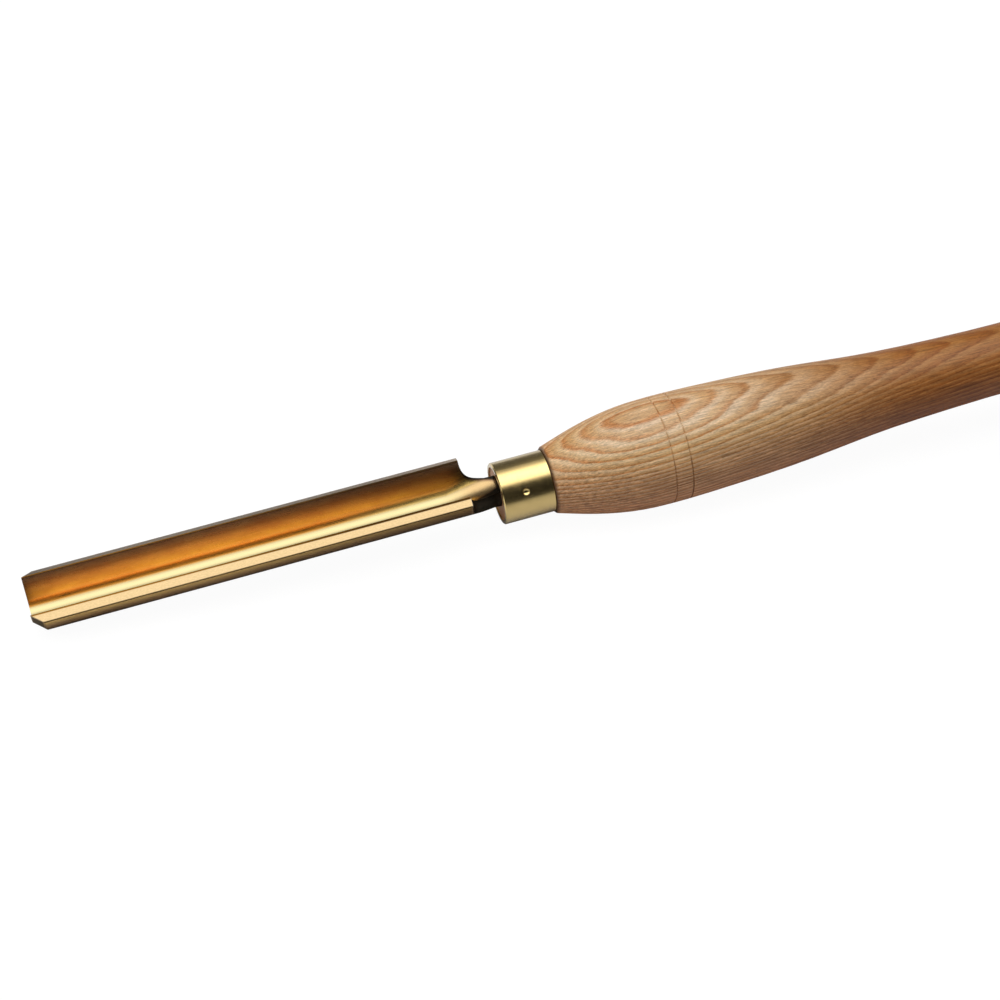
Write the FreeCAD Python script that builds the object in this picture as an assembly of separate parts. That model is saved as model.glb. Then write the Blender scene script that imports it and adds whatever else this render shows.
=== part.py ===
# Spindle roughing gouge for the woodturning lathe.
#
# Three pieces: a forged high speed steel blade with its tang in one piece, a
# brass ferrule and a turned ash handle. Units are millimetres.
#
# The frame is the handle's axis. +X runs along the tool towards the butt, +Z
# is up, the side that the flute opens to, and the origin is on the axis at the
# ferrule's front end.

import FreeCAD, Part
import math
import os

# Blade
flute_width = 19.25           # inside, across the tops of the two straight walls
floor_radius = 6.6            # inside radius of the round floor between the walls
wall_lean = 26.6              # the walls lean out from upright, in degrees
blade_wall = 4.0              # thickness, the same all round the section
blade_length = 176.0          # cutting edge to the ferrule's front end
edge_angle = 42.0             # slope of the outside bevel at the nose, in degrees
underside_drop = 2.55         # handle axis down to the blade's underside
rim_chamfer = 0.3             # broken outer corners along the tops of the walls
rim_break = 0.12              # and the sharper inner ones
heel_distance = 11.75         # ends of the walls to the ferrule's front end
heel_step = 1.3               # square end left at the tops of the walls, above the hollow curve
heel_taper = 24.0             # slope at which the hollow curve meets the neck, in degrees
heel_inset = 0.4              # the curve ends this far under the neck's side
heel_skew = 2.4               # the heel is ground slightly out of square, in degrees
heel_steep_share = 0.94       # fullness of the hollow curve where it leaves the walls
heel_ease_share = 0.48        # and where it meets the neck

# End of the flute, neck and tang
run_out_distance = 18.0       # the floor starts to rise this far before the ferrule
run_out_slope = 8.7           # and rises straight up to it, in degrees
run_out_share = 0.75          # how far up the walls the rising floor is shaped
neck_diameter = 11.7
neck_rise = 2.0               # handle axis up to the middle of the neck
neck_slant = 3.8              # slope of the neck down into the handle, in degrees
neck_distance = 6.0           # start of the full neck to the ferrule's front end
neck_cone_length = 7.0        # the neck grows to full size over this length, inside the floor
neck_cone_diameter = 6.0
neck_depth = 3.0              # the full neck runs this far past the ferrule's front end
tang_root_width = 9.0         # section where the tang leaves the neck
tang_root_height = 7.0
tang_root_corner = 1.5
tang_root_rise = 1.4          # handle axis up to its middle
tang_depth = 76.0             # ferrule's front end to the tang's tip
tang_width = 7.0              # section at the tip
tang_height = 4.6
tang_corner = 0.8
tang_clearance = 0.05

# Ferrule
ferrule_diameter = 23.66
ferrule_length = 19.93
ferrule_wall = 1.5
ferrule_edge = 0.4            # eased outer corner at each end
ferrule_clearance = 0.03
punch_distance = 9.0          # punch mark behind the ferrule's front end
punch_angle = 36.9            # round from the level of the axis, in degrees
punch_radius = 1.7
punch_depth = 0.75

# Handle
handle_length = 285.0         # shoulder to butt
spigot_recess = 0.5           # wood's end grain behind the ferrule's front end
shoulder_diameter = 25.8
shoulder_edge = 0.6
bulge_diameter = 41.3
bulge_distance = 46.0         # shoulder to the thickest place
waist_diameter = 26.9
waist_distance = 90.0         # thinnest place to the butt
swell_diameter = 31.6
swell_distance = 24.0         # swelling to the butt
butt_diameter = 9.0           # small flat left by the lathe centre
scribe_width = 0.8
scribe_depth = 0.35
scribe_distance = 44.2        # shoulder to the first scribed line
scribe_spacing = 6.6

# The handle's outline between its named places. Each pair is how far along the
# stretch a point is, and how much of the stretch's change in radius it has.
front_outline_shares = ((0.23, 0.40), (0.45, 0.71), (0.72, 0.94))
back_outline_shares = ((0.16, 0.085), (0.37, 0.34), (0.55, 0.70), (0.76, 0.93))
swell_outline_shares = ((0.48, 0.52),)
dome_share = 0.55             # fullness of the rounded butt

overrun = 5.0                 # how far a cutting solid stands past what it cuts

# Places worked out from the sizes above
lean = math.radians(wall_lean)
floor_angle = 90 - wall_lean
underside_radius = floor_radius + blade_wall
section_centre = underside_radius - underside_drop
bevel_length = blade_wall / math.tan(math.radians(edge_angle))
wall_slope = (flute_width / 2 - floor_radius * math.cos(lean)) / math.sin(lean)
wall_run = wall_slope * math.sin(lean)
wall_rise = wall_slope * math.cos(lean)
rim_reach = underside_radius * math.cos(lean) + wall_run
rim_height = section_centre - underside_radius * math.sin(lean) + wall_rise
heel_start = math.hypot(rim_reach, rim_height - neck_rise) - heel_step
heel_end = neck_diameter / 2 - heel_inset - heel_distance * math.sin(math.radians(heel_skew))
ferrule_radius = ferrule_diameter / 2
bore_radius = ferrule_radius - ferrule_wall
shoulder = ferrule_length
butt = shoulder + handle_length
along = FreeCAD.Vector(1, 0, 0)
across = FreeCAD.Vector(0, 1, 0)
upward = FreeCAD.Vector(0, 0, 1)


def place(x, z):
    """A point in the plane of the tool's outline, straight above the handle's axis."""
    return FreeCAD.Vector(x, 0, z)


def line(start, end):
    return Part.LineSegment(start, end).toShape()


def closed_lines(points):
    return [line(start, end) for start, end in zip(points, points[1:] + points[:1])]


def turned(edges, height=0):
    """The solid that a closed outline sweeps about an axis along X at this height."""
    return Part.Face(Part.Wire(edges)).revolve(place(0, height), along, 360)


def rounded_rectangle(x, width, height, corner, centre):
    """A closed outline square to X, centred over the axis, with rounded corners."""
    diagonal = corner * math.sqrt(0.5)
    arcs = []
    for side, level in ((1, 1), (-1, 1), (-1, -1), (1, -1)):
        pivot = FreeCAD.Vector(x, side * (width / 2 - corner), centre + level * (height / 2 - corner))
        beside = pivot + FreeCAD.Vector(0, side * corner, 0)
        over = pivot + FreeCAD.Vector(0, 0, level * corner)
        middle = pivot + FreeCAD.Vector(0, side * diagonal, level * diagonal)
        first, last = (beside, over) if side == level else (over, beside)
        arcs.append((first, middle, last))
    edges = []
    for arc, following in zip(arcs, arcs[1:] + arcs[:1]):
        edges.append(Part.Arc(*arc).toShape())
        edges.append(line(arc[2], following[0]))
    return Part.Wire(edges)


def wall_profile(angle):
    """The wall cut lengthwise with its outside bevel, this far round from the floor's middle."""
    nose = -blade_length
    floor = section_centre - floor_radius
    underside = section_centre - underside_radius
    profile = Part.Face(Part.Wire(closed_lines([
        place(nose, floor), place(0, floor),
        place(0, underside), place(nose + bevel_length, underside)])))
    profile.rotate(place(0, section_centre), along, angle)
    return profile


def rim_edges(bar, outer):
    """The long edges along the tops of the walls, on the outside or in the flute."""
    middle = (flute_width / 2 + rim_reach) / 2
    tops = [edge for edge in bar.Edges
            if edge.Length > blade_length / 2 and edge.CenterOfMass.z > section_centre]
    return [edge for edge in tops if (abs(edge.CenterOfMass.y) > middle) == outer]


def fluted_bar():
    """A round floor and two straight leaning walls, from the cutting edge to the neck."""
    bar = wall_profile(-floor_angle).revolve(place(0, section_centre), along, 2 * floor_angle)
    for side in (-1, 1):
        slope = FreeCAD.Vector(0, side * wall_run, wall_rise)
        bar = bar.fuse(wall_profile(side * floor_angle).extrude(slope))
    bar = bar.removeSplitter()
    bar = bar.makeChamfer(rim_chamfer, rim_edges(bar, True))
    return bar.makeChamfer(rim_break, rim_edges(bar, False))


def heel_waste():
    """What the turned heel loses: all outside a hollow curve from the walls to the neck."""
    heel = -heel_distance
    ease = heel_distance * heel_ease_share
    start = place(heel, neck_rise + heel_start)
    end = place(0, neck_rise + heel_end)
    curve = Part.BezierCurve()
    curve.setPoles([
        start, place(heel, start.z - heel_steep_share * (heel_start - heel_end)),
        place(-ease, end.z + ease * math.tan(math.radians(heel_taper))), end])
    top = start.z + overrun
    rest = [end, place(overrun, end.z), place(overrun, top), place(heel, top), start]
    waste = turned([curve.toShape()] + [line(a, b) for a, b in zip(rest, rest[1:])], neck_rise)
    waste.rotate(place(heel, 0), upward, -heel_skew)
    return waste


def flute_section(x, offset, rise=0):
    """The lower part of the flute's closed section, with its floor raised between the walls."""
    growth = rise * math.sin(lean) / (1 - math.sin(lean))
    radius = floor_radius + growth + offset
    centre = section_centre + growth / math.sin(lean)
    slope = run_out_share * wall_slope - growth / math.tan(lean)
    feet = [FreeCAD.Vector(x, side * radius * math.cos(lean), centre - radius * math.sin(lean))
            for side in (-1, 1)]
    tops = [foot + FreeCAD.Vector(0, side * slope * math.sin(lean), slope * math.cos(lean))
            for foot, side in zip(feet, (-1, 1))]
    floor = Part.Arc(feet[0], place(x, centre - radius), feet[1]).toShape()
    return Part.Wire([floor, line(feet[1], tops[1]), line(tops[1], tops[0]), line(tops[0], feet[0])])


def run_out_fill():
    """Fills the flute's lower part from where its floor starts to rise to the ferrule."""
    section = Part.Face(flute_section(-run_out_distance, blade_wall / 2))
    return section.extrude(along * run_out_distance)


def run_out_cut():
    """The flute's lower part with its floor rising to the ferrule between the same walls."""
    rise = run_out_distance * math.tan(math.radians(run_out_slope))
    sections = [flute_section(-run_out_distance, 0), flute_section(0, 0, rise)]
    return Part.makeLoft(sections, True, True)


def neck(clearance=0):
    """A round rod that slants down into the handle, with a cone inside the blade's floor."""
    start = -neck_distance - neck_cone_length
    end = neck_depth + clearance
    side = neck_rise + neck_diameter / 2 + clearance
    rod = turned(closed_lines([
        place(start, neck_rise), place(start, neck_rise + neck_cone_diameter / 2),
        place(-neck_distance, side), place(end, side), place(end, neck_rise)]), neck_rise)
    rod.rotate(place(-neck_distance, neck_rise), across, neck_slant)
    return rod


def tang(clearance=0):
    """The tapered tang from inside the neck to its tip in the handle."""
    grow = 2 * clearance
    root = rounded_rectangle(
        0, tang_root_width + grow, tang_root_height + grow, tang_root_corner, tang_root_rise)
    tip = rounded_rectangle(
        tang_depth + clearance, tang_width + grow, tang_height + grow, tang_corner, 0)
    return Part.makeLoft([root, tip], True, True)


def blade():
    turned_down = fluted_bar().fuse(run_out_fill()).cut(heel_waste())
    return turned_down.fuse(neck()).cut(run_out_cut()).fuse(tang()).removeSplitter()


def punch_ball(radius):
    """A ball about the punch's centre, facing -Y, with its pole turned out of the ferrule."""
    angle = math.radians(punch_angle)
    reach = ferrule_radius + punch_radius - punch_depth
    centre = FreeCAD.Vector(punch_distance, -reach * math.cos(angle), reach * math.sin(angle))
    ball = Part.makeSphere(radius, centre)
    ball.rotate(centre, along, 90 - punch_angle)
    return ball


def ferrule():
    """A tube with eased edges, staked to the wood by one punch mark."""
    tube = turned(closed_lines([
        place(0, bore_radius), place(0, ferrule_radius - ferrule_edge),
        place(ferrule_edge, ferrule_radius), place(ferrule_length - ferrule_edge, ferrule_radius),
        place(ferrule_length, ferrule_radius - ferrule_edge), place(ferrule_length, bore_radius)]))
    bore = Part.makeCylinder(bore_radius, ferrule_length, place(0, 0), along)
    stake = punch_ball(punch_radius + ferrule_wall).common(bore)
    return tube.fuse(stake).cut(punch_ball(punch_radius)).removeSplitter()


def stretch(start, end, shares):
    """Outline places between two others, as shares of the way along and of the change."""
    return [place(start.x + way * (end.x - start.x), start.z + change * (end.z - start.z))
            for way, change in shares]


def handle_outline():
    """The turned outline from the shoulder to the swelling at the butt."""
    front = place(shoulder + shoulder_edge, shoulder_diameter / 2)
    bulge = place(shoulder + bulge_distance, bulge_diameter / 2)
    waist = place(butt - waist_distance, waist_diameter / 2)
    swell = place(butt - swell_distance, swell_diameter / 2)
    points = ([front] + stretch(front, bulge, front_outline_shares)
              + [bulge] + stretch(bulge, waist, back_outline_shares)
              + [waist] + stretch(waist, swell, swell_outline_shares) + [swell])
    outline = Part.BSplineCurve()
    outline.interpolate(Points=points, InitialTangent=points[1] - points[0], FinalTangent=along)
    return outline.toShape()


def butt_dome():
    """The rounded butt, from the swelling to the small flat at its middle."""
    swell = place(butt - swell_distance, swell_diameter / 2)
    flat = place(butt, butt_diameter / 2)
    dome = Part.BezierCurve()
    dome.setPoles([
        swell, place(swell.x + dome_share * (flat.x - swell.x), swell.z),
        place(flat.x, flat.z + dome_share * (swell.z - flat.z)), flat])
    return dome.toShape()


def scribed_line(outline, x):
    """A V groove round the handle at this place, as deep as its name says."""
    upright = line(place(x, 0), place(x, bulge_diameter))
    surface = outline.distToShape(upright)[1][0][0].z
    half_width = scribe_width / 2 * (scribe_depth + overrun) / scribe_depth
    return turned(closed_lines([
        place(x, surface - scribe_depth), place(x + half_width, surface + overrun),
        place(x - half_width, surface + overrun)]))


def handle():
    """The ash handle, with its spigot inside the ferrule and the tang's socket."""
    spigot_radius = bore_radius - ferrule_clearance
    outline = handle_outline()
    front = [place(butt, 0), place(spigot_recess, 0), place(spigot_recess, spigot_radius),
             place(shoulder, spigot_radius), place(shoulder, shoulder_diameter / 2 - shoulder_edge),
             place(shoulder + shoulder_edge, shoulder_diameter / 2)]
    edges = [line(a, b) for a, b in zip(front, front[1:])]
    edges += [outline, butt_dome(), line(place(butt, butt_diameter / 2), place(butt, 0))]
    wood = turned(edges)
    for x in (shoulder + scribe_distance, shoulder + scribe_distance + scribe_spacing):
        wood = wood.cut(scribed_line(outline, x))
    stake = punch_ball(punch_radius + ferrule_wall + ferrule_clearance)
    socket = neck(tang_clearance).fuse(tang(tang_clearance))
    return wood.cut(stake).cut(socket).removeSplitter()


os.makedirs("parts", exist_ok=True)
pieces = {"blade": blade, "ferrule": ferrule, "handle": handle}
for name, make in pieces.items():
    solid = make()
    solid.exportStep("parts/" + name + ".step")
    print(name, solid.ShapeType, len(solid.Solids), solid.isValid(), round(solid.Volume), "mm3")
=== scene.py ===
import math

import bmesh
import bpy
from mathutils import Matrix, Vector

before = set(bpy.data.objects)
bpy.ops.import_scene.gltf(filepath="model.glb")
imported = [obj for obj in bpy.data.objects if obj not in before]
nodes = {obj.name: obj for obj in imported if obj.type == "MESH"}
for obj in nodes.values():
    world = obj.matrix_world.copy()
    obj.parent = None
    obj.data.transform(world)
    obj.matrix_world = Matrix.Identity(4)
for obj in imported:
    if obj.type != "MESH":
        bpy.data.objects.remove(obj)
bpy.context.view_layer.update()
scene = bpy.context.scene
MM_PER_METRE = 1000
MM = 1 / MM_PER_METRE

# Colours are linear: three numbers, or one for a grey. A pair called a range holds the
# two places between which a tone changes. A pair called an edge is a mask's soft edge.
WHITE = (1, 1, 1)
BLACK = (0, 0, 0)
NOISE_RANGE = (0.3, 0.7)
MOTTLE_RANGE = (0.35, 0.65)

# The white floor touches the tool at its nose and at the handle's thickest place
NOSE_REST = Vector((-176, 0, -2.55)) * MM
BULGE_REST = Vector((66, 0, -20.65)) * MM
FLOOR_HALF_METRES = 4.0

# To the camera the floor glows white, with a little shade. In the tool's reflections it
# is greyer, more so towards the camera and past the nose, and less so beside the blade:
# painted light and shade on the floor.
FLOOR_GLOW = 0.96
FLOOR_SHADE = 0.07
FLOOR_BESIDE = 0.6
FLOOR_IN_FRONT = 0.33
FLOOR_FRONT_RANGE = (-320.0, -60.0)
FLOOR_BY_BLADE = 1.5
FLOOR_BLADE_RANGE = (-25.0, -5.0)
FLOOR_PAST_NOSE = 0.35
FLOOR_NOSE_RANGE = (-178.0, -164.0)

# Camera, fitted to the photograph
CAMERA_PLACE = Vector((-149.73, -618.88, 660.01)) * MM
CAMERA_RIGHT = Vector((0.95222, -0.29898, -0.06239))
CAMERA_UP = Vector((0.25768, 0.67675, 0.68964))
CAMERA_LENS = 88.53
CAMERA_SENSOR = 36

# Light of the studio round the tool: (degrees from level in front, over the top, to
# level behind; strength). It is weaker towards both ends of the tool.
STUDIO = ((0, 0.06), (10, 0.03), (30, 0.02), (57, 0.03), (63, 0.25), (68, 1.6), (74, 2.4),
          (96, 2.8), (108, 2.4), (113, 1.9), (120, 1.0), (129, 0.4), (140, 0.13),
          (160, 0.1), (180, 0.22))
STUDIO_PEAK = max(strength for _, strength in STUDIO)
STUDIO_ENDS = 0.35
STUDIO_ENDS_RANGE = (0.75, 0.97)
BACKDROP = 1.0

# The blade's section
NOSE = -176.0
SECTION_CENTRE = 8.05
FLUTE_RADIUS = 6.6
WALL_LEAN = math.radians(26.6)
WALL_SLOPE = 8.32
BLADE_WALL = 4.0
RUN_OUT_START = -18.0
RUN_OUT_SLOPE = math.tan(math.radians(8.7))
RUN_OUT_EDGE = (-0.2, 0.2)

# Flute walls: two golds in clouds, with painted shade by the share of the way from the
# nose to the ferrule, and painted reflection tones by the share of the way up the wall
WALL_GOLDS = ((0.86, 0.56, 0.165), (0.76, 0.44, 0.135))
WALL_SHADE_ALONG = ((0.0, 0.55), (0.014, 0.78), (0.07, 1.0), (0.3, 1.0), (0.42, 0.98),
              (0.6, 0.97), (0.72, 0.96), (0.83, 0.74), (0.89, 0.62), (0.93, 0.46),
              (1.0, 0.38))
WALL_TOP = 0.95
WALL_TOP_RANGE = (4.0, 7.5)
WALL_REFLECTION_UPWARDS = ((0.0, WHITE), (0.12, WHITE), (0.36, (0.98, 0.90, 1.0)),
                (0.6, (0.74, 0.64, 0.85)), (0.9, (0.95, 1.0, 2.0)),
                (1.0, (0.36, 0.34, 0.8)))
# Painted shade: the walls darken towards the heel, above their foot
WALL_HEEL_SHADE = 0.26
WALL_HEEL_SHADE_RANGE = (-100.0, -45.0)
WALL_HEEL_SHADE_UP_RANGE = (1.5, 3.5)

# Foot of the walls and floor of the flute, told apart by degrees round the floor
FOOT_NOSE = (1.0, 0.42, 0.065)
FOOT_HEEL = (0.95, 0.65, 0.20)
FOOT_RANGE = (-70.0, -30.0)
# The floor's pale colour is a painted highlight, the washed-out tone of the light it
# reflects; its darker end by the heel is painted shade
FLUTE_FLOOR = (0.455, 0.385, 0.20)
FLUTE_FLOOR_END = (0.40, 0.275, 0.13)
FLUTE_FLOOR_RANGE = (-22.0, -8.0)
FLUTE_FLOOR_EDGE = (0.5, 1.0)
FLOOR_TO_FOOT_RANGE = (29.0, 38.0)
FOOT_TO_WALL_RANGE = (48.0, 60.0)

# Outside of the walls, by the share of the way up from the round underside to the rim:
# painted shade dark low down, and a painted reflection paler under the rim
OUTSIDE_LOW = -6.0
OUTSIDE_PAINTED_UPWARDS = ((0.2, (0.07, 0.04, 0.02)), (0.42, (0.28, 0.16, 0.08)),
                   (0.62, (0.52, 0.31, 0.15)), (0.9, (1.0, 0.68, 0.24)),
                   (0.96, (0.9, 0.6, 0.22)), (1.0, (0.25, 0.16, 0.06)))
# Darker towards the heel
OUTSIDE_HEEL_TINT = (0.36, 0.31, 0.26)
OUTSIDE_HEEL_TINT_RANGE = (-110.0, -15.0)
OUTSIDE_EDGE = (BLADE_WALL - 0.9, BLADE_WALL - 0.5)

# Bevel, dark, and a pale line along its upper end
BEVEL = (0.085, 0.045, 0.015)
BEVEL_EDGE = (0.1, 0.3)
BEVEL_END_EDGE = (NOSE + 10.0, NOSE + 12.0)
BEVEL_TOP_PALE = (0.95, 0.8, 0.55)
BEVEL_TOP_PALE_RANGE = (WALL_SLOPE - 1.7, WALL_SLOPE - 1.0)

# Rims, and the dark lines along their inner and outer corners, which are painted shade
RIM_EDGE = (WALL_SLOPE - 0.22, WALL_SLOPE - 0.1)
NEAR_RIM = ((0.53, 0.39, 0.20), (0.68, 0.50, 0.27))
# The far rim's greyer colour, darker towards the nose, is a painted reflection
FAR_RIM_REFLECTION = ((0.74, 0.64, 0.545), (0.90, 0.78, 0.68))
FAR_RIM_REFLECTION_ALONG = ((0.0, 0.47), (0.6, 0.5), (0.72, 0.56), (0.83, 0.68), (0.93, 0.9))
NEAR_TO_FAR_RANGE = (-1.0, 1.0)
INNER_LINE_NOSE = (0.24, 0.11, 0.016)
INNER_LINE_HEEL = (0.06, 0.028, 0.006)
INNER_LINE_RANGE = (-130.0, -50.0)
INNER_LINE_WIDTHS = (0.75, 1.05)
INNER_LINE_WIDTHS_RANGE = (-110.0, -60.0)
INNER_LINE_EDGE = (-0.3, 0.0)
INNER_LINE_UP_EDGE = (WALL_SLOPE - 0.3, WALL_SLOPE - 0.12)
OUTER_LINE = (0.06, 0.035, 0.012)
OUTER_LINE_SHARE = 0.85
OUTER_LINE_EDGE = (BLADE_WALL - 0.55, BLADE_WALL - 0.3)
OUTER_LINE_UP_EDGE = (WALL_SLOPE - 0.4, WALL_SLOPE - 0.28)

# The heel's turned outline: (place along the tool, radius round the neck's axis)
HEEL_START = -11.75
HEEL_SKEW = math.tan(math.radians(2.4))
NECK_AXIS = 2.0
HEEL_CURVE = ((-11.75, 14.5), (-11.57, 12.15), (-11.07, 10.3), (-10.28, 9.0),
              (-9.24, 8.0), (-8.0, 7.3), (-6.6, 6.8), (-5.0, 6.4), (-3.4, 6.05),
              (-1.7, 5.6), (0.0, 4.96))
HEEL_WIDEST = 16.0

# Black on the turned skin and on the neck: the heel's own scale, with painted shade over it.
# Beside the ferrule the black is painted shade in the recess.
SCALE_AND_SHADE = ((0.016, 0.016, 0.013), (0.045, 0.036, 0.026))
SCALE_SKIN_EDGE = (0.15, 0.35)
SCALE_NECK_EDGE = (2.2, 2.6)
SCALE_FLUTE_EDGE = (0.05, 0.2)
SCALE_START_EDGE = (-0.05, 0.1)
FERRULE_RECESS_SHADE_EDGE = (-0.5, 0.6)

# Painted shade: a brown lip round the end of the flute. On the near side it widens along the
# heel.
LIP_SHADE = (0.13, 0.07, 0.04)
LIP_NEAR = (0.2, 3.0)
LIP_NEAR_RANGE = (0.3, 4.5)
LIP_FAR = 0.95
LIP_SIDES_RANGE = (-1.5, 1.5)
LIP_EDGE = (-1.1, 0.1)
LIP_START_EDGE = (0.0, 0.2)
LIP_FLUTE_EDGE = (0.2, 0.4)
LIP_SCALE_EDGE = (-0.3, 0.5)

# Painted highlight: a bright line on the edge where the turning starts
TURNING_HIGHLIGHT = (0.45, 0.36, 0.27)
TURNING_LINE_SHARE = 0.6
TURNING_LINE_EDGE = (0.08, 0.25)
TURNING_LINE_FLUTE_EDGE = (0.3, 0.6)

FLUTE_ROUGHNESS = (0.25, 0.34)
RIM_ROUGHNESS = (0.44, 0.54)
SCALE_ROUGHNESS = 0.5
STEEL_EDGE_TINT = (0.85, 0.76, 0.64)

BRASS = ((0.70, 0.515, 0.195), (0.65, 0.47, 0.17))
BRASS_ROUGHNESS = (0.2, 0.27)
LACQUER_ROUGHNESS = 0.22

# The ash: growth layers lie nearly level in the handle, at these heights over the axis.
# They tilt along it, and at the crown also across it.
LAYERS = (21.0, 19.6, 18.2, 17.05, 15.5, 13.75, 11.9, 9.9, 7.9, 6.1, 4.7, 3.2, 1.35, 0.1,
          -1.6, -3.1, -4.1, -5.9, -7.8, -9.6, -12.1, -15.0, -17.6, -20.4, -23.5, -27.0,
          -31.0)
LAYER_TILT = -0.05
CROWN_TILT = 0.13
CROWN_TILT_RANGE = (4.0, 9.0)
SLOW_SWAY = 0.35
QUICK_SWAY = 0.65
# How far the layers bend up at the crown: (place along the handle, share of LAYER_BEND)
LAYER_BEND = 1.2
BENT = ((76.0, 0.0), (86.0, 0.25), (98.0, 0.75), (112.0, 1.0), (130.0, 0.3),
        (144.0, 0.0), (164.0, 0.0), (177.0, 0.17), (192.0, 0.33))
BENT_LAST = BENT[-1][0]
BENT_ASIDE = 0.3
BENT_ASIDE_RANGE = (6.0, 14.0)

# The wood within one layer, by the share of its depth
LATE_WOOD = (0.67, 0.48, 0.31)
MIDDLE_WOOD = (0.58, 0.365, 0.19)
IN_LAYER = ((0.0, MIDDLE_WOOD), (0.14, LATE_WOOD), (0.36, LATE_WOOD), (0.6, MIDDLE_WOOD),
            (1.0, MIDDLE_WOOD))
# The rings are its early wood, browner to the back: shares of it, also by depth. They
# are wider on the crown, by the share of the way from the shoulder to CROWN_LAST.
EARLY_WOOD = (0.48, 0.175, 0.048)
EARLY_WOOD_BACK = (0.42, 0.215, 0.085)
EARLY_WOOD_RANGE = (65.0, 115.0)
RING = ((0.0, 1.0), (0.06, 0.8), (0.15, 0.0), (0.72, 0.0), (0.86, 0.45), (0.94, 0.9),
        (1.0, 1.0))
CROWN_RING = ((0.0, 1.0), (0.12, 0.85), (0.28, 0.0), (0.72, 0.0), (0.88, 0.7), (1.0, 1.0))
CROWN_RANGE = (3.0, 7.0)
CROWN_LAST = 100.0
CROWN_ALONG = ((0.04, 0.0), (0.12, 1.0), (0.72, 1.0), (0.9, 0.0))
RING_WEAKEST = 0.6
RING_PATCHES_RANGE = (0.3, 0.65)
PORE = (0.24, 0.11, 0.04)
PORE_EDGE = (0.14, 0.34)
PORE_SHARES = (0.25, 0.85)
PORE_SHARES_RANGE = (0.0, 0.5)

# Tone of the whole handle: darker to the back and on the far side. By the height it has
# painted shade: darker and redder low down, paler on top
BACK_TINT = (0.54, 0.345, 0.175)
BACK_RANGE = (72.0, 172.0)
FAR_TINT = (0.94, 0.86, 0.76)
FAR_RANGE = (-6.0, 2.0)
UPWARDS_SHADE_TINT = ((0.0, (0.90, 0.62, 0.50)), (0.33, (0.93, 0.66, 0.52)),
                (0.5, (0.85, 0.67, 0.54)), (0.67, (0.93, 0.81, 0.70)),
                (0.86, (1.0, 0.99, 0.86)), (1.0, (1.0, 1.03, 1.05)))
UPWARDS_SHADE_RANGE = (-20.0, 20.0)
STREAK_DARK = (0.62, 0.55, 0.50)
STREAK_PALE = (1.22, 1.24, 1.25)
STREAK_SHARES = (0.8, 0.15)
STREAK_SHARES_RANGE = (4.0, 14.0)

# Scribed lines: (place along the handle, how dark). They fade upwards: painted shade,
# darker low down.
SCRIBED = ((64.13, 0.6), (70.73, 1.0))
SCRIBED_BURNT = (0.20, 0.085, 0.025)
SCRIBED_EDGE = (0.12, 0.36)
SCRIBED_AT_TOP = 0.1
SCRIBED_UPWARDS_RANGE = (-4.0, 16.0)

# The dark joint where the handle's shoulder meets the ferrule
SHOULDER = 19.93
JOINT = (0.09, 0.04, 0.015)
JOINT_SHARE = 0.95
JOINT_RANGE = (SHOULDER, SHOULDER + 1.2)
JOINT_EDGE = (SHOULDER - 0.1, SHOULDER - 0.05)

WOOD_ROUGHNESS = (0.48, 0.38)
VARNISH_LEVEL = 0.28


def rgba(colour):
    """The four numbers of a colour given as three, or as one for a grey."""
    if isinstance(colour, (int, float)):
        colour = (colour,) * 3
    return (*colour, 1)


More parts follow.
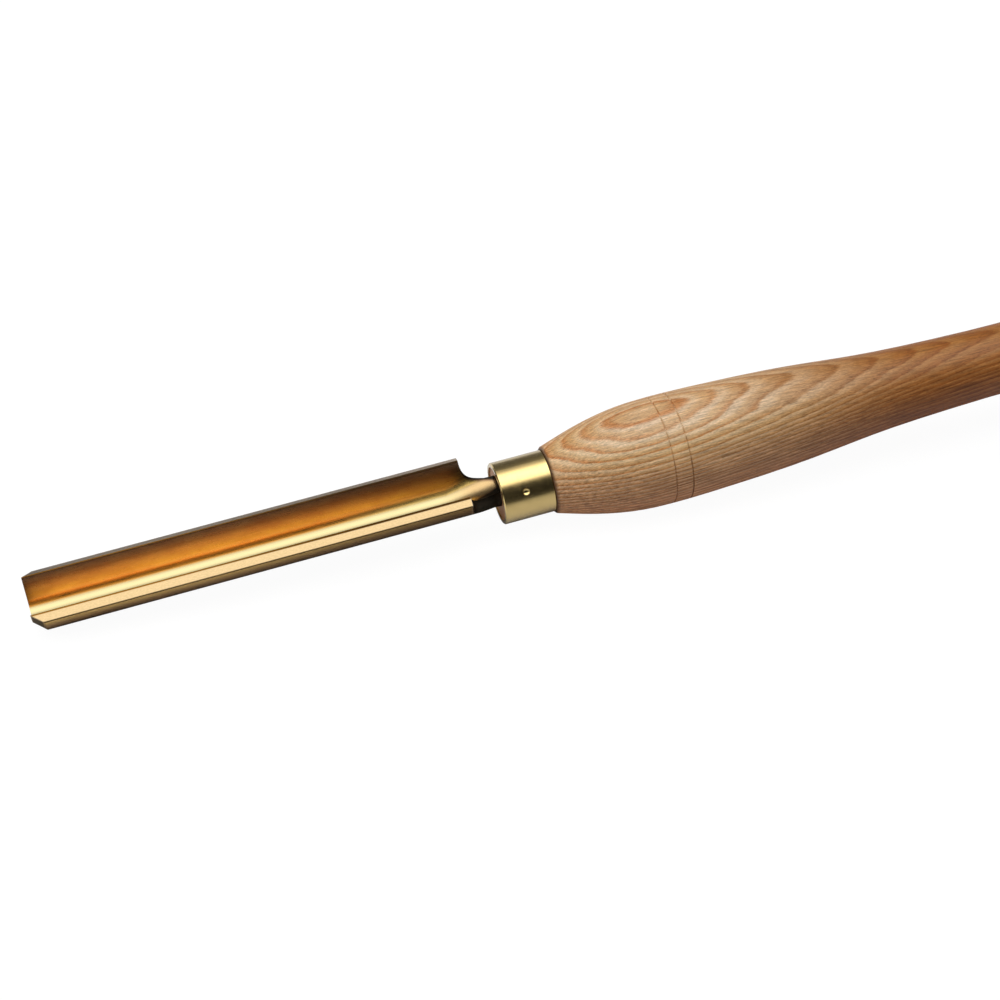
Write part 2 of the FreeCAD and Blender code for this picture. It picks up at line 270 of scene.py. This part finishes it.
class Tree:
    """Short calls for building a node tree."""

    def __init__(self, tree):
        self.tree = tree
        tree.nodes.clear()

    def add(self, kind, **settings):
        node = self.tree.nodes.new(kind)
        for name, value in settings.items():
            setattr(node, name, value)
        return node

    def put(self, node, values):
        """Sets or links the sockets of a node, by name or number."""
        for key, value in values.items():
            socket = node.inputs[key]
            if isinstance(value, bpy.types.NodeSocket):
                self.tree.links.new(value, socket)
            else:
                socket.default_value = rgba(value) if socket.type == "RGBA" else value
        return node

    def math(self, operation, a, b=0.0):
        node = self.add("ShaderNodeMath", operation=operation)
        return self.put(node, {0: a, 1: b}).outputs[0]

    def plus(self, a, b):
        return self.math("ADD", a, b)

    def minus(self, a, b):
        return self.math("SUBTRACT", a, b)

    def times(self, product, *factors):
        for factor in factors:
            product = self.math("MULTIPLY", product, factor)
        return product

    def maximum(self, a, b):
        return self.math("MAXIMUM", a, b)

    def absolute(self, value):
        return self.math("ABSOLUTE", value)

    def split(self, vector):
        node = self.put(self.add("ShaderNodeSeparateXYZ"), {0: vector})
        return node.outputs[0], node.outputs[1], node.outputs[2]

    def join(self, x, y, z):
        return self.put(self.add("ShaderNodeCombineXYZ"), {0: x, 1: y, 2: z}).outputs[0]

    def length(self, a, b):
        node = self.add("ShaderNodeVectorMath", operation="LENGTH")
        return self.put(node, {0: self.join(a, b, 0.0)}).outputs["Value"]

    def coordinates(self, stretch=(1, 1, 1)):
        """Object coordinates in millimetres, scaled by stretch."""
        metres = self.add("ShaderNodeTexCoord").outputs["Object"]
        node = self.add("ShaderNodeVectorMath", operation="MULTIPLY")
        scale = tuple(MM_PER_METRE * share for share in stretch)
        return self.put(node, {0: metres, 1: scale}).outputs["Vector"]

    def remap(self, value, low, high, to_low, to_high, smooth=False):
        """Takes low..high to to_low..to_high, and stays at either end beyond it."""
        node = self.add("ShaderNodeMapRange", clamp=True)
        node.interpolation_type = "SMOOTHSTEP" if smooth else "LINEAR"
        values = {0: value, 1: low, 2: high, 3: to_low, 4: to_high}
        return self.put(node, values).outputs[0]

    def rise(self, value, low, high, smooth=False):
        return self.remap(value, low, high, 0.0, 1.0, smooth)

    def fall(self, value, low, high, smooth=False):
        return self.remap(value, low, high, 1.0, 0.0, smooth)

    def ramp(self, value, stops):
        """Goes through the stops: (place from 0 to 1, colour)."""
        node = self.put(self.add("ShaderNodeValToRGB"), {0: value})
        band = node.color_ramp
        while len(band.elements) < len(stops):
            band.elements.new(1.0)
        for element, (position, colour) in zip(band.elements, stops):
            element.position = position
            element.color = rgba(colour)
        return node.outputs[0]

    def noise(self, vector, scale, detail, rough):
        node = self.add("ShaderNodeTexNoise")
        values = {"Vector": vector, "Scale": scale, "Detail": detail, "Roughness": rough}
        return self.put(node, values).outputs[0]

    def mix(self, share, a, b, blend="MIX"):
        node = self.add("ShaderNodeMix", data_type="RGBA", blend_type=blend)
        return self.put(node, {0: share, 6: a, 7: b}).outputs[2]

    def tint(self, colour, tint, share=1.0):
        return self.mix(share, colour, tint, "MULTIPLY")

    def mottle(self, noise, low, high):
        """Two colours in patches, where a noise is low and where it is high."""
        return self.mix(self.rise(noise, *MOTTLE_RANGE), low, high)

    def grain(self, colour, noise, share, dark, pale, spread=0.2):
        """Tints a colour dark to pale as a noise goes through its middle by spread."""
        stops = ((0.5 - spread, dark), (0.5, 1.0), (0.5 + spread, pale))
        return self.tint(colour, self.ramp(noise, stops), share)

    def bump(self, height, strength, distance):
        values = {"Height": height, "Strength": strength, "Distance": distance}
        return self.put(self.add("ShaderNodeBump"), values).outputs[0]


def new_material(name):
    material = bpy.data.materials.new(name)
    material.use_nodes = True
    tree = Tree(material.node_tree)
    surface = tree.add("ShaderNodeBsdfPrincipled")
    tree.put(tree.add("ShaderNodeOutputMaterial"), {"Surface": surface.outputs[0]})
    return material, tree, surface


def flute_places(tree, x, y, z):
    """Where a point of the blade lies: up the wall from its foot, through the wall from
    its inner face, outside the flute's surface, and degrees round the flute's floor."""
    sine, cosine = math.sin(WALL_LEAN), math.cos(WALL_LEAN)
    side = tree.absolute(y)
    level = tree.minus(z, SECTION_CENTRE)
    up_wall = tree.plus(tree.times(side, sine), tree.times(level, cosine))
    through = tree.minus(tree.times(side, cosine), tree.times(level, sine))
    through = tree.minus(through, FLUTE_RADIUS)

    # The floor runs out upwards at the heel, and grows to keep touching both walls
    rise = tree.times(tree.minus(x, RUN_OUT_START), RUN_OUT_SLOPE)
    growth = tree.times(tree.maximum(rise, 0.0), sine / (1 - sine))
    raised = tree.minus(level, tree.math("DIVIDE", growth, sine))
    below = tree.minus(tree.minus(tree.length(side, raised), FLUTE_RADIUS), growth)
    foot = tree.math("DIVIDE", growth, math.tan(WALL_LEAN))
    on_floor = tree.fall(tree.minus(up_wall, foot), *RUN_OUT_EDGE)
    outside = tree.maximum(through, tree.times(below, on_floor))
    turn = tree.math("DEGREES", tree.math("ARCTAN2", side, tree.times(raised, -1.0)))
    return up_wall, through, outside, turn


def flute_colour(tree, x, up_wall, outside, turn, drawn, clouds):
    """Rich orange walls with painted shade towards the heel and nose, and a paler floor."""
    # Painted shade along the flute: darker at the nose's tip and towards the heel, and nearly
    # even high on the wall
    along = tree.ramp(tree.rise(x, NOSE, 0.0), WALL_SHADE_ALONG)
    along = tree.mix(tree.rise(up_wall, *WALL_TOP_RANGE), along, WALL_TOP)
    wall = tree.tint(tree.mottle(clouds, *WALL_GOLDS), along)
    # Painted reflection tones up the wall
    wall = tree.tint(wall, tree.ramp(tree.rise(up_wall, 0.0, WALL_SLOPE), WALL_REFLECTION_UPWARDS))
    # Painted shade on the walls towards the heel
    heel_shade = tree.times(tree.remap(x, *WALL_HEEL_SHADE_RANGE, 0.0, WALL_HEEL_SHADE),
                        tree.rise(up_wall, *WALL_HEEL_SHADE_UP_RANGE))
    wall = tree.mix(heel_shade, wall, BLACK)
    foot = tree.mix(tree.rise(x, *FOOT_RANGE), FOOT_NOSE, FOOT_HEEL)
    at_foot = tree.times(tree.rise(turn, *FLOOR_TO_FOOT_RANGE, smooth=True),
                         tree.fall(turn, *FOOT_TO_WALL_RANGE, smooth=True))
    wall = tree.mix(at_foot, wall, foot)
    # Painted highlight: a pale floor, darker towards the heel as painted shade
    floor = tree.mix(tree.rise(x, *FLUTE_FLOOR_RANGE), FLUTE_FLOOR, FLUTE_FLOOR_END)
    floor = tree.grain(floor, drawn, share=0.5, dark=0.82, pale=1.15)
    on_floor = tree.times(tree.fall(turn, *FLOOR_TO_FOOT_RANGE, smooth=True),
                          tree.fall(outside, *FLUTE_FLOOR_EDGE))
    return tree.mix(on_floor, wall, floor)


def outside_colour(tree, x, up_wall):
    """Painted reflection under the rim, painted shade towards the underside, duller at the
    heel.
    """
    upwards = tree.ramp(tree.rise(up_wall, OUTSIDE_LOW, WALL_SLOPE), OUTSIDE_PAINTED_UPWARDS)
    heel_tint = tree.mix(tree.rise(x, *OUTSIDE_HEEL_TINT_RANGE), WHITE, OUTSIDE_HEEL_TINT)
    return tree.tint(upwards, heel_tint)


def rim_colour(tree, x, y, ground):
    """Ground bright, and greyer on the far side, a painted reflection."""
    # Painted reflection: the far rim greyer, and darker towards the nose
    far = tree.tint(tree.mottle(ground, *FAR_RIM_REFLECTION),
                    tree.ramp(tree.rise(x, NOSE, 0.0), FAR_RIM_REFLECTION_ALONG))
    near = tree.mottle(ground, *NEAR_RIM)
    return tree.mix(tree.rise(y, *NEAR_TO_FAR_RANGE), near, far)


def draw_rim_lines(tree, colour, x, up_wall, through):
    """Painted shade: dark lines along the inner and outer corners of the rims."""
    width = tree.remap(x, *INNER_LINE_WIDTHS_RANGE, *INNER_LINE_WIDTHS)
    inner = tree.times(tree.rise(up_wall, *INNER_LINE_UP_EDGE),
                       tree.fall(tree.minus(through, width), *INNER_LINE_EDGE))
    corner_shade = tree.mix(tree.rise(x, *INNER_LINE_RANGE), INNER_LINE_NOSE, INNER_LINE_HEEL)
    colour = tree.mix(inner, colour, corner_shade)
    outer = tree.times(tree.rise(up_wall, *OUTER_LINE_UP_EDGE),
                       tree.rise(through, *OUTER_LINE_EDGE), OUTER_LINE_SHARE)
    return tree.mix(outer, colour, OUTER_LINE)


def draw_heel(tree, colour, x, y, z, outside, clouds):
    """The heel, turned down, black with scale and painted shade. Returns its colour and the
    black's mask.
    """
    past = tree.minus(tree.minus(x, HEEL_START), tree.times(y, HEEL_SKEW))
    stops = [((along - HEEL_START) / -HEEL_START, radius / HEEL_WIDEST)
             for along, radius in HEEL_CURVE]
    turned = tree.times(tree.ramp(tree.math("DIVIDE", past, -HEEL_START), stops),
                        HEEL_WIDEST)
    under = tree.minus(turned, tree.length(y, tree.minus(z, NECK_AXIS)))
    skin = tree.maximum(tree.fall(under, *SCALE_SKIN_EDGE),
                        tree.rise(past, *SCALE_NECK_EDGE))
    skin = tree.times(skin, tree.rise(outside, *SCALE_FLUTE_EDGE),
                      tree.rise(past, *SCALE_START_EDGE))

    # Painted shade round the end of the flute
    margin = tree.mix(tree.rise(y, *LIP_SIDES_RANGE),
                      tree.remap(past, *LIP_NEAR_RANGE, *LIP_NEAR), LIP_FAR)
    inside = tree.minus(margin, under)
    lip = tree.times(tree.rise(inside, *LIP_EDGE), tree.rise(past, *LIP_START_EDGE),
                     tree.fall(outside, *LIP_FLUTE_EDGE))
    colour = tree.mix(lip, colour, LIP_SHADE)

    scale_and_shade = tree.maximum(skin, tree.times(lip, tree.rise(inside, *LIP_SCALE_EDGE)))
    # Painted shade in the recess beside the ferrule
    scale_and_shade = tree.maximum(scale_and_shade, tree.rise(x, *FERRULE_RECESS_SHADE_EDGE))
    colour = tree.mix(scale_and_shade, colour, tree.mottle(clouds, *SCALE_AND_SHADE))
    # Painted highlight along the edge where the turning starts
    line = tree.times(tree.fall(tree.absolute(past), *TURNING_LINE_EDGE),
                      tree.rise(outside, *TURNING_LINE_FLUTE_EDGE), TURNING_LINE_SHARE)
    return tree.mix(line, colour, TURNING_HIGHLIGHT), scale_and_shade


def gold_steel():
    """Nitride-coated steel: polished flute, ground rims, heel black with scale and painted
    shade.
    """
    material, tree, surface = new_material("gold_steel")
    x, y, z = tree.split(tree.coordinates())
    up_wall, through, outside, turn = flute_places(tree, x, y, z)
    drawn = tree.noise(tree.coordinates((0.02, 1.0, 1.0)), scale=5.0, detail=4.0, rough=0.65)
    ground = tree.noise(tree.coordinates((0.7, 1.6, 1.6)), scale=1.6, detail=4.0, rough=0.7)
    clouds = tree.noise(tree.coordinates((0.5, 1.0, 1.0)), scale=0.22, detail=4.0, rough=0.6)

    colour = flute_colour(tree, x, up_wall, outside, turn, drawn, clouds)
    bare = tree.rise(outside, *OUTSIDE_EDGE)
    colour = tree.mix(bare, colour, outside_colour(tree, x, up_wall))
    bevel = tree.times(tree.fall(x, *BEVEL_END_EDGE),
                       tree.minus(tree.rise(outside, *BEVEL_EDGE), bare))
    colour = tree.mix(bevel, colour, tree.mix(tree.rise(up_wall, *BEVEL_TOP_PALE_RANGE), BEVEL, BEVEL_TOP_PALE))
    rim = tree.rise(up_wall, *RIM_EDGE)
    colour = tree.mix(rim, colour, rim_colour(tree, x, y, ground))
    colour = draw_rim_lines(tree, colour, x, up_wall, through)
    colour, scale_and_shade = draw_heel(tree, colour, x, y, z, outside, clouds)

    rough = tree.mix(rim, tree.remap(drawn, *NOISE_RANGE, *FLUTE_ROUGHNESS),
                     tree.remap(ground, *NOISE_RANGE, *RIM_ROUGHNESS))
    rough = tree.mix(scale_and_shade, rough, SCALE_ROUGHNESS)
    scratches = tree.bump(tree.mix(rim, drawn, ground), strength=0.15, distance=0.02 * MM)
    tree.put(surface, {"Base Color": colour, "Metallic": 1.0, "Roughness": rough,
                       "Specular Tint": STEEL_EDGE_TINT, "Normal": scratches})
    return material


def brass():
    """Lacquered satin brass with fine turning lines and a few duller clouds."""
    material, tree, surface = new_material("brass")
    place = tree.coordinates()
    x = tree.split(place)[0]
    turning = tree.noise(tree.join(x, 0.0, 0.0), scale=6.0, detail=3.0, rough=0.7)
    clouds = tree.noise(place, scale=0.25, detail=3.0, rough=0.5)
    grain = tree.noise(place, scale=1.8, detail=3.0, rough=0.6)
    colour = tree.grain(tree.mix(clouds, *BRASS), grain, share=0.35, dark=0.8, pale=1.15)
    tree.put(surface, {"Base Color": colour, "Metallic": 1.0,
                       "Roughness": tree.remap(clouds, *NOISE_RANGE, *BRASS_ROUGHNESS),
                       "Coat Weight": 1.0, "Coat Roughness": LACQUER_ROUGHNESS,
                       "Normal": tree.bump(turning, strength=0.12, distance=0.02 * MM)})
    return material


def growth_layers(tree, x, y, z):
    """Counts the growth layers downwards from the first: whole numbers on their lines."""
    slow = tree.noise(tree.coordinates((0.014, 0.05, 0.05)), scale=1.0, detail=2.0, rough=0.5)
    quick = tree.noise(tree.coordinates((0.1, 0.5, 0.5)), scale=1.0, detail=3.0, rough=0.5)
    sway = tree.plus(tree.times(tree.minus(slow, 0.5), SLOW_SWAY),
                     tree.times(tree.minus(quick, 0.5), QUICK_SWAY))
    aside = tree.absolute(y)
    across = tree.times(y, tree.remap(aside, *CROWN_TILT_RANGE, CROWN_TILT, 0.0))
    bent = tree.ramp(tree.math("DIVIDE", x, BENT_LAST),
                     [(along / BENT_LAST, share) for along, share in BENT])
    bent = tree.times(bent, tree.remap(aside, *BENT_ASIDE_RANGE, 1.0, BENT_ASIDE), LAYER_BEND)
    sway = tree.minus(tree.plus(sway, across), bent)
    height = tree.plus(tree.plus(z, tree.times(x, LAYER_TILT)), sway)

    top, bottom = LAYERS[0], LAYERS[-1]
    last = len(LAYERS) - 1
    stops = [((top - line) / (top - bottom), number / last)
             for number, line in enumerate(LAYERS)]
    return tree.times(tree.ramp(tree.rise(height, top, bottom), stops), float(last))


def ash():
    """Ash cut across its growth layers: pale late wood, orange early wood, dark pores."""
    material, tree, surface = new_material("ash")
    x, y, z = tree.split(tree.coordinates())
    count = growth_layers(tree, x, y, z)
    layer = tree.math("FRACT", count)

    # Rings, each with its own strength
    chance = tree.add("ShaderNodeTexWhiteNoise", noise_dimensions="1D")
    tree.put(chance, {"W": tree.math("FLOOR", tree.plus(count, 0.5))})
    strength = tree.remap(chance.outputs["Value"], 0.0, 1.0, RING_WEAKEST, 1.0)
    on_crown = tree.times(tree.fall(tree.absolute(y), *CROWN_RANGE),
                          tree.ramp(tree.rise(x, SHOULDER, CROWN_LAST), CROWN_ALONG))
    ring = tree.mix(on_crown, tree.ramp(layer, RING), tree.ramp(layer, CROWN_RING))
    patches = tree.noise(tree.coordinates((0.06, 0.4, 0.4)), scale=1.0, detail=3.0, rough=0.5)
    patches = tree.remap(patches, *RING_PATCHES_RANGE, RING_WEAKEST, 1.0)
    early = tree.mix(tree.rise(x, *EARLY_WOOD_RANGE), EARLY_WOOD, EARLY_WOOD_BACK)
    wood = tree.mix(tree.times(ring, strength, patches), tree.ramp(layer, IN_LAYER), early)

    # Fibres, speckles and pores
    fibre = tree.noise(tree.coordinates((0.1, 2.0, 2.0)), scale=1.0, detail=4.0, rough=0.7)
    wood = tree.grain(wood, fibre, share=0.8, dark=0.45, pale=1.38)
    speckle = tree.noise(tree.coordinates((0.8, 2.2, 2.2)), scale=1.0, detail=2.0, rough=0.6)
    wood = tree.grain(wood, speckle, share=0.6, dark=0.68, pale=1.22)
    cells = tree.add("ShaderNodeTexVoronoi")
    tree.put(cells, {"Vector": tree.coordinates((0.45, 2.6, 2.6)), "Scale": 1.0})
    pore = tree.times(tree.fall(cells.outputs["Distance"], *PORE_EDGE),
                      tree.remap(ring, *PORE_SHARES_RANGE, *PORE_SHARES))
    wood = tree.mix(pore, wood, PORE)

    # Tone of the whole handle with painted shade by the height, and streaks
    back = tree.rise(x, *BACK_RANGE, smooth=True)
    wood = tree.mix(back, wood, tree.tint(wood, BACK_TINT))
    # Painted shade: darker and redder low down, paler on top
    wood = tree.tint(wood, tree.ramp(tree.rise(z, *UPWARDS_SHADE_RANGE), UPWARDS_SHADE_TINT))
    wood = tree.tint(wood, tree.mix(tree.rise(y, *FAR_RANGE), WHITE, FAR_TINT))
    streak = tree.noise(tree.coordinates((0.03, 1.3, 1.3)), scale=1.0, detail=3.0, rough=0.6)
    wood = tree.grain(wood, streak, tree.remap(z, *STREAK_SHARES_RANGE, *STREAK_SHARES),
                      dark=STREAK_DARK, pale=STREAK_PALE, spread=0.16)

    # Scribed lines and joint
    # The burnt lines fade upwards: painted shade, darker low down
    for along, depth in SCRIBED:
        burnt = tree.times(
            tree.remap(tree.absolute(tree.minus(x, along)), *SCRIBED_EDGE, depth, 0.0),
            tree.remap(z, *SCRIBED_UPWARDS_RANGE, 1.0, SCRIBED_AT_TOP))
        wood = tree.mix(burnt, wood, SCRIBED_BURNT)
    joint = tree.times(tree.remap(x, *JOINT_RANGE, JOINT_SHARE, 0.0),
                       tree.rise(x, *JOINT_EDGE))
    wood = tree.mix(joint, wood, JOINT)

    relief = tree.minus(tree.times(fibre, 0.5), pore)
    tree.put(surface, {"Base Color": wood,
                       "Roughness": tree.remap(fibre, *NOISE_RANGE, *WOOD_ROUGHNESS),
                       "Specular IOR Level": VARNISH_LEVEL,
                       "Normal": tree.bump(relief, strength=0.18, distance=0.08 * MM)})
    return material


def build_world():
    """White to the camera, and the studio's light for everything else."""
    world = bpy.data.worlds.new("studio")
    scene.world = world
    world.use_nodes = True
    tree = Tree(world.node_tree)
    x, y, z = tree.split(tree.add("ShaderNodeTexCoord").outputs["Generated"])
    angle = tree.math("ARCTAN2", z, tree.times(y, -1.0))
    stops = [(degrees / 180, strength / STUDIO_PEAK) for degrees, strength in STUDIO]
    level = tree.ramp(tree.math("DIVIDE", angle, math.pi), stops)
    ends = tree.remap(tree.absolute(x), *STUDIO_ENDS_RANGE, 1.0, STUDIO_ENDS, smooth=True)
    light = tree.put(tree.add("ShaderNodeBackground"),
                     {"Color": WHITE, "Strength": tree.times(level, ends, STUDIO_PEAK)})
    backdrop = tree.put(tree.add("ShaderNodeBackground"),
                        {"Color": WHITE, "Strength": BACKDROP})
    camera_ray = tree.add("ShaderNodeLightPath").outputs["Is Camera Ray"]
    both = tree.put(tree.add("ShaderNodeMixShader"),
                    {0: camera_ray, 1: light.outputs[0], 2: backdrop.outputs[0]})
    tree.put(tree.add("ShaderNodeOutputWorld"), {"Surface": both.outputs[0]})


def white_floor():
    """White to the camera, greyer in reflections, and clear from below."""
    material = bpy.data.materials.new("floor_white")
    material.use_nodes = True
    tree = Tree(material.node_tree)
    camera_ray = tree.add("ShaderNodeLightPath").outputs["Is Camera Ray"]
    x, y = tree.split(tree.coordinates())[:2]
    # Painted light and shade on the floor, as the tool reflects it
    reflected = tree.times(
        tree.remap(y, *FLOOR_FRONT_RANGE, FLOOR_IN_FRONT, FLOOR_BESIDE),
        tree.remap(x, *FLOOR_BLADE_RANGE, FLOOR_BY_BLADE, 1.0),
        tree.remap(x, *FLOOR_NOSE_RANGE, FLOOR_PAST_NOSE, 1.0))
    matt = tree.put(tree.add("ShaderNodeBsdfDiffuse"),
                    {"Color": tree.mix(camera_ray, reflected, FLOOR_SHADE)})
    glow = tree.put(tree.add("ShaderNodeEmission"),
                    {"Strength": tree.times(camera_ray, FLOOR_GLOW)})
    face = tree.put(tree.add("ShaderNodeAddShader"),
                    {0: matt.outputs[0], 1: glow.outputs[0]})
    clear = tree.add("ShaderNodeBsdfTransparent")
    from_below = tree.add("ShaderNodeNewGeometry").outputs["Backfacing"]
    both = tree.put(tree.add("ShaderNodeMixShader"),
                    {0: from_below, 1: face.outputs[0], 2: clear.outputs[0]})
    tree.put(tree.add("ShaderNodeOutputMaterial"), {"Surface": both.outputs[0]})
    return material


def build_floor():
    """A square through the two places where the tool rests."""
    along = (BULGE_REST - NOSE_REST).normalized() * FLOOR_HALF_METRES
    across = Vector((0, 1, 0)) * FLOOR_HALF_METRES
    centre = (NOSE_REST + BULGE_REST) / 2
    corners = [centre + along * a + across * b
               for a, b in ((-1, -1), (1, -1), (1, 1), (-1, 1))]
    mesh = bpy.data.meshes.new("floor")
    built = bmesh.new()
    built.faces.new([built.verts.new(corner) for corner in corners])
    built.to_mesh(mesh)
    built.free()
    floor = bpy.data.objects.new("floor", mesh)
    scene.collection.objects.link(floor)
    mesh.materials.append(white_floor())


def build_camera():
    data = bpy.data.cameras.new("camera")
    data.sensor_width = CAMERA_SENSOR
    data.lens = CAMERA_LENS
    camera = bpy.data.objects.new("camera", data)
    scene.collection.objects.link(camera)
    right = CAMERA_RIGHT.normalized()
    back = right.cross(CAMERA_UP).normalized()
    up = back.cross(right)
    turn = Matrix((right, up, back)).transposed()
    camera.matrix_world = Matrix.Translation(CAMERA_PLACE) @ turn.to_4x4()
    scene.camera = camera


build_world()
build_floor()
build_camera()
for name, material in (("blade", gold_steel()), ("ferrule", brass()), ("handle", ash())):
    nodes[name].data.materials.clear()
    nodes[name].data.materials.append(material)
scene.view_settings.view_transform = "Standard"
